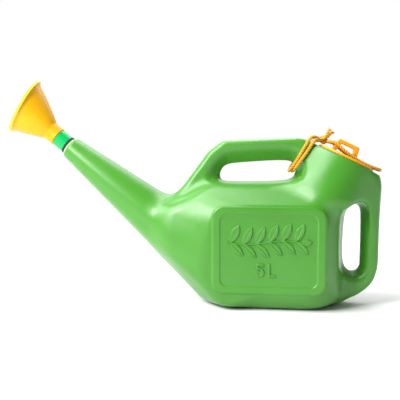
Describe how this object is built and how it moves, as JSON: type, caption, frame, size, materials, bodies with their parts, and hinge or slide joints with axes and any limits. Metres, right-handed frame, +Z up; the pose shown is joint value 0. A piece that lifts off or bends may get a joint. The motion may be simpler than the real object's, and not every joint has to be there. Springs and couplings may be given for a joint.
{
  "type": "watering can",
  "caption": "Blow-moulded watering can with top and rear handles, push-in filler lid on a cord tether, and a pull-off swivelling rose on a tapered spout.",
  "frame": {"origin": "on the surface that it stands on, in the plane of symmetry, 12 mm towards the rear handle from the centre of the flat base", "axes": "+X towards the rear handle, the spout points to -X, +Z up, label panels on -Y and +Y"},
  "size_m": [0.5679, 0.1336, 0.3364],
  "materials": {
    "can_green": "satin blow-moulded polyethylene, mid green",
    "washer_rubber": "black rubber",
    "coupling_green": "glossy injection-moulded plastic, emerald green",
    "rose_yellow": "semi-gloss injection-moulded plastic, warm yellow",
    "rose_yellow_pale": "semi-gloss injection-moulded plastic, pale yellow",
    "lid_yellow": "semi-gloss injection-moulded plastic, orange yellow",
    "tether_cord": "twisted synthetic cord, orange yellow"
  },
  "bodies": {
    "can": {"can_body": "can_green", "tether_handle_loop_outer": "tether_cord", "tether_handle_loop_inner": "tether_cord"},
    "lid": {"filler_lid": "lid_yellow", "tether_knot": "tether_cord", "tether_lid_loop": "tether_cord", "tether_tail_front": "tether_cord", "tether_tail_back": "tether_cord"},
    "coupling": {"spout_coupling": "coupling_green", "spout_washer": "washer_rubber"},
    "rose": {"rose_cone": "rose_yellow", "rose_face": "rose_yellow_pale"}
  },
  "joints": [
    {"name": "lid_lift", "type": "slide", "parent": "can", "child": "lid", "axis": [0.4384, 0, 0.8988], "range_m": [0, 0.045]},
    {"name": "coupling_pull", "type": "slide", "parent": "can", "child": "coupling", "axis": [-0.7826, 0, 0.6225], "range_m": [0, 0.035]},
    {"name": "rose_turn", "type": "hinge", "parent": "coupling", "child": "rose", "pos_m": [-0.303, 0, 0.2346], "axis": [-0.7826, 0, 0.6225], "continuous": true}
  ]
}
